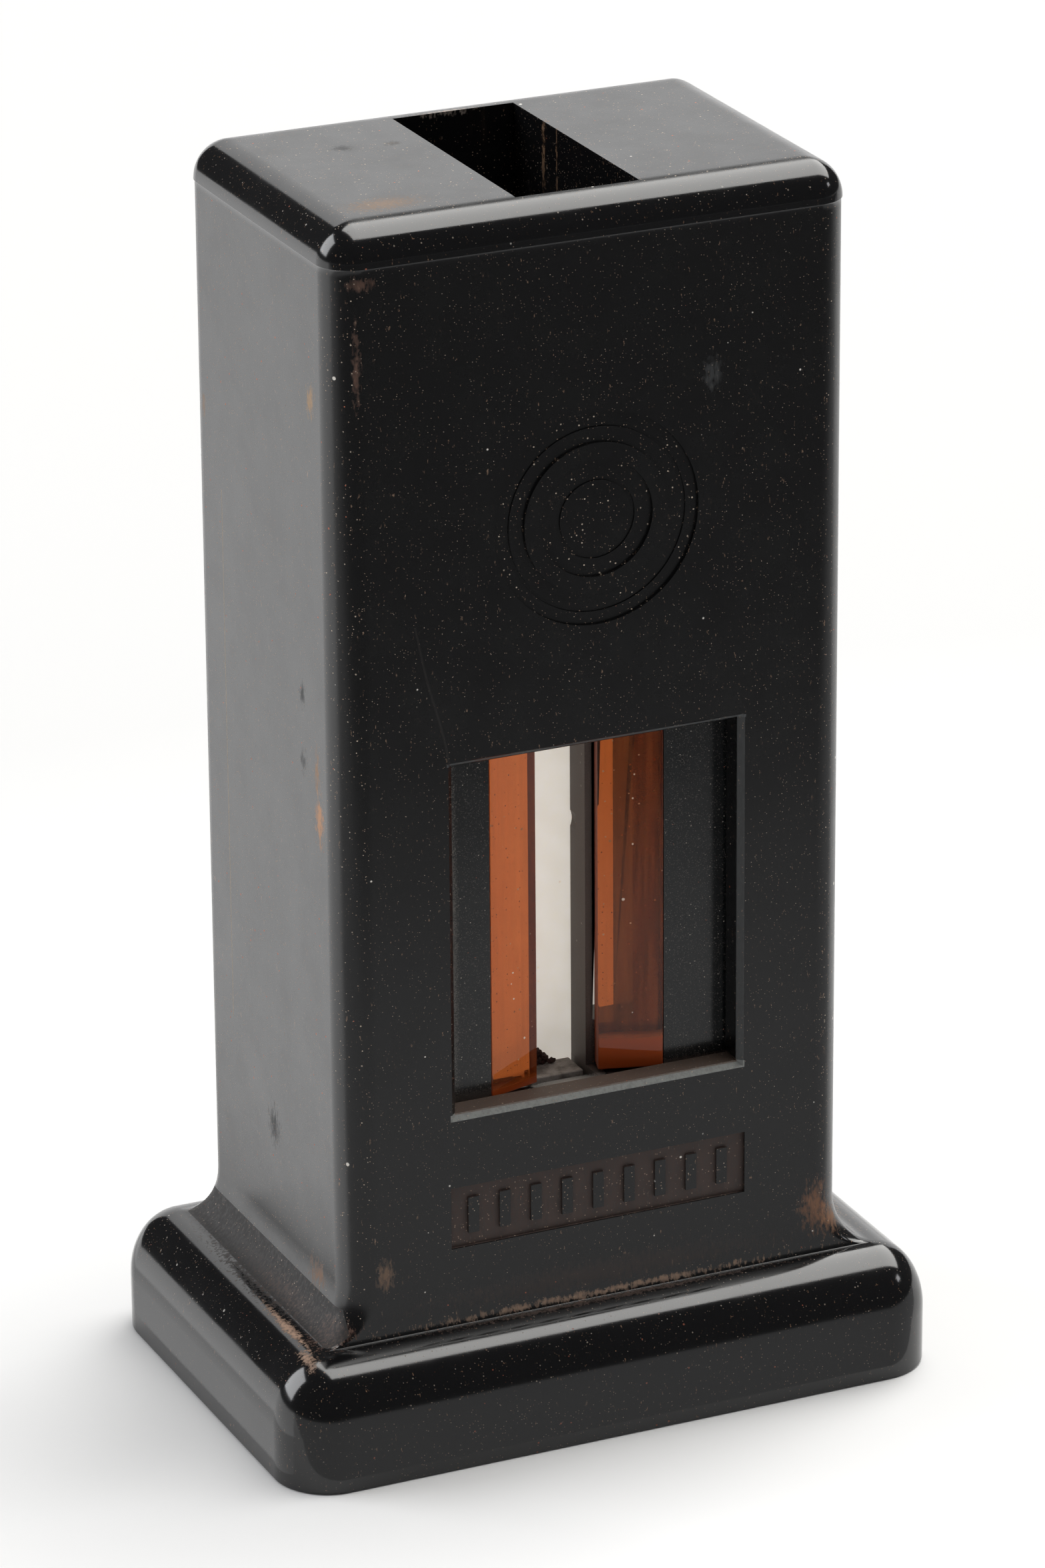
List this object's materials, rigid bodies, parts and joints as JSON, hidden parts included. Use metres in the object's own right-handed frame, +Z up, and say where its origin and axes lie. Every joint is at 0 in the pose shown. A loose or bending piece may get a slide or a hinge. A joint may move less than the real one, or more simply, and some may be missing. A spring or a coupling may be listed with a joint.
{
  "type": "colour comparator stand",
  "caption": "Black moulded stand with a flared foot, a slot through its top for a measuring tube, and a front window onto amber glass standards either side of a gap.",
  "frame": {"origin": "bottom centre of the foot", "axes": "+Z up the column, -Y out of the front window, +X to the right of someone facing the front"},
  "size_m": [0.0672, 0.0456, 0.12],
  "materials": {
    "black_phenolic": "compression-moulded phenolic: glossy rolled rims and foot, faces ground to a fine satin",
    "matt_phenolic": "moulded phenolic, semi-gloss, dusty",
    "amber_glass": "polished coloured glass plate with ground edges",
    "opal_glass": "fine-ground opal glass plate, does not let a view through",
    "rest_pad": "pressed fibre pad, dull",
    "brass": "turned, slightly tarnished",
    "spring_bronze": "rolled strip, satin",
    "fibre_board": "pressed fibre board, dull"
  },
  "bodies": {
    "stand": {"housing": "black_phenolic", "rear_cover": "black_phenolic", "standards_carrier": "matt_phenolic", "glass_standard_left": "amber_glass", "glass_standard_right": "amber_glass", "opal_diffuser": "opal_glass", "opal_clip_left": "spring_bronze", "opal_clip_right": "spring_bronze", "tube_spring_foot": "spring_bronze", "tube_rest": "rest_pad", "base_plate": "fibre_board", "opal_clip_screw_1": "brass", "opal_clip_screw_2": "brass", "tube_spring_screw": "brass", "rear_cover_screw_1": "brass", "rear_cover_screw_2": "brass", "rear_cover_screw_3": "brass", "rear_cover_screw_4": "brass", "carrier_screw_1": "brass", "carrier_screw_2": "brass", "base_screw_1": "brass", "base_screw_2": "brass", "base_screw_3": "brass", "base_screw_4": "brass"},
    "spring_blade": {"tube_spring": "spring_bronze"}
  },
  "joints": [
    {"name": "tube_spring_flex", "type": "hinge", "parent": "stand", "child": "spring_blade", "pos_m": [0, -0.00382, 0.077], "axis": [-1, 0, 0], "range_deg": [0, 8], "stiffness_Nm_per_rad": 0.05}
  ]
}
